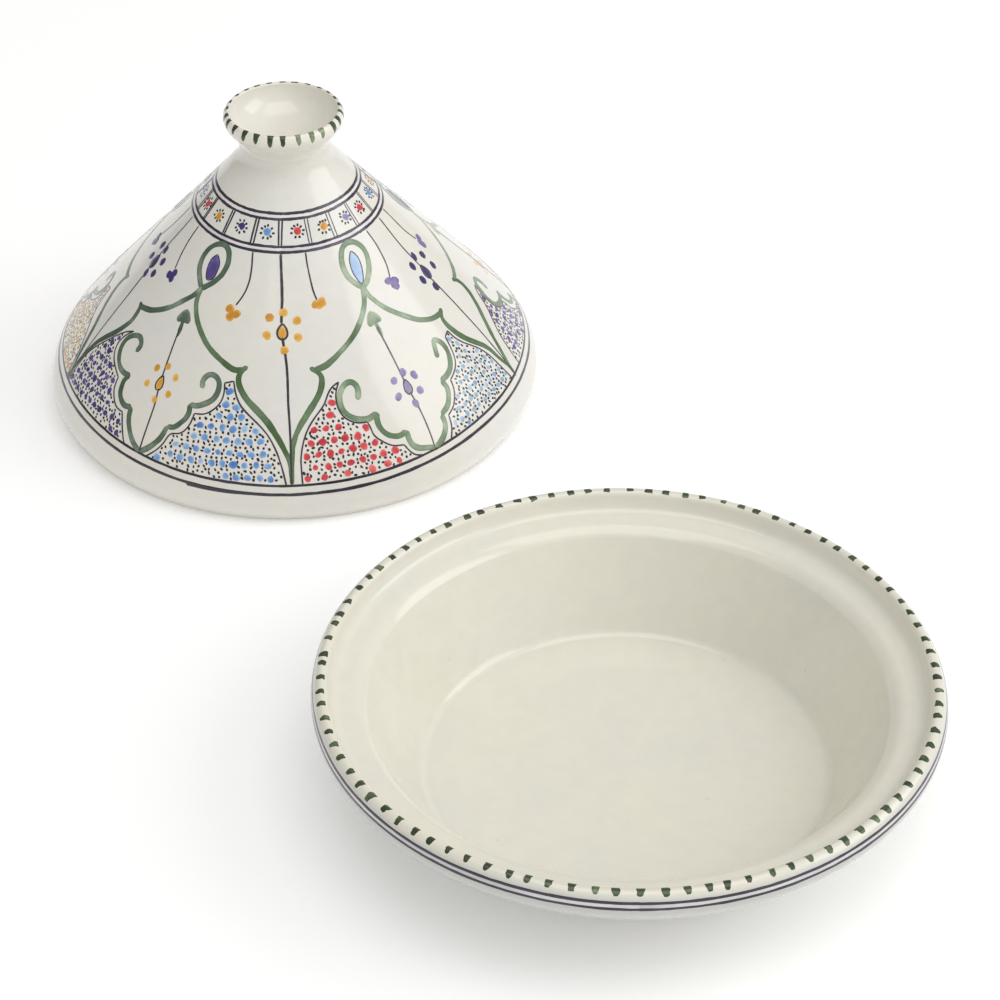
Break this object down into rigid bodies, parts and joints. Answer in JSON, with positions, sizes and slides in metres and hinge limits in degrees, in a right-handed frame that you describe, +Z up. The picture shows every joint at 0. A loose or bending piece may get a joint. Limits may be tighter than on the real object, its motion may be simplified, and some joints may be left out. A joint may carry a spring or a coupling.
{
  "type": "tagine pot",
  "caption": "Round glazed earthenware tagine: a shallow flat-based dish with a stepped seat inside its lip, and a painted conical lid with a hollow cup knob.",
  "frame": {"origin": "centre of the dish's flat base, on the plane that the dish and the lid both stand on", "axes": "+Z up along the dish's axis; +Y to the back; the lid stands behind the dish and to its left (-X, +Y)"},
  "size_m": [0.4668, 0.6239, 0.1772],
  "materials": {
    "dish_glaze": "glossy cream glaze with dark green dashes on the lip and two purple-black lines under it",
    "lid_glaze": "glossy off-white glaze with hand-painted green, blue, red, purple and orange ornament"
  },
  "bodies": {
    "dish": {"dish": "dish_glaze"},
    "lid": {"lid_cone": "lid_glaze", "lid_knob": "lid_glaze"}
  },
  "joints": [
    {"name": "lid_carry", "type": "slide", "parent": "dish", "child": "lid", "axis": [0.3795, -0.7149, 0.5872], "range_m": [0, 0.46829]}
  ]
}
